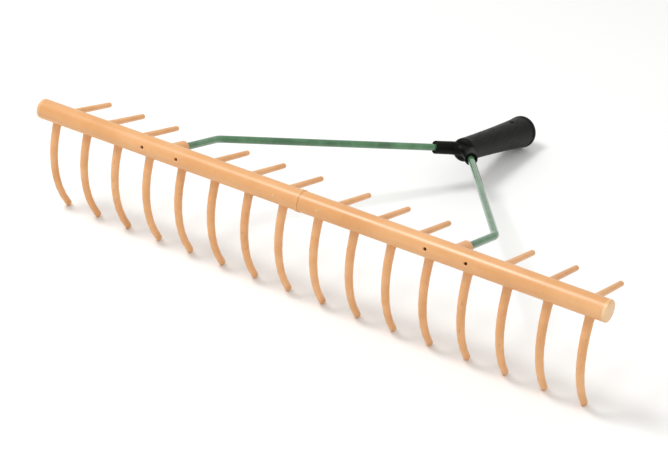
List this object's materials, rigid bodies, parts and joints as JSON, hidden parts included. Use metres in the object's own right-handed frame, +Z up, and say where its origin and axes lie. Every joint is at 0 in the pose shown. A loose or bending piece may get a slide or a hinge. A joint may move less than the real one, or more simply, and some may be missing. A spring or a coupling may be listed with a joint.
{
  "type": "plastic hay and lawn rake head",
  "caption": "Rake head: a tan plastic tube with long curved tines and short straight pegs, two bent green stays and a black tapered socket for a handle.",
  "frame": {"origin": "on the ground under the middle of the rake's bounding box, with the rake standing on its tine tips and the rim of its socket", "axes": "+X along the head tube, +Y from the head to the handle, +Z up"},
  "size_m": [0.715, 0.5292, 0.1376],
  "materials": {
    "tan_plastic": "satin",
    "green_coated_steel": "gloss",
    "black_plastic": "satin"
  },
  "bodies": {
    "root": {"head_left": "tan_plastic", "head_right": "tan_plastic", "centre_coupling": "tan_plastic", "coupling_pins": "tan_plastic", "end_cap_left": "tan_plastic", "end_cap_right": "tan_plastic", "stay_left": "green_coated_steel", "stay_right": "green_coated_steel", "socket": "black_plastic"}
  },
  "joints": []
}
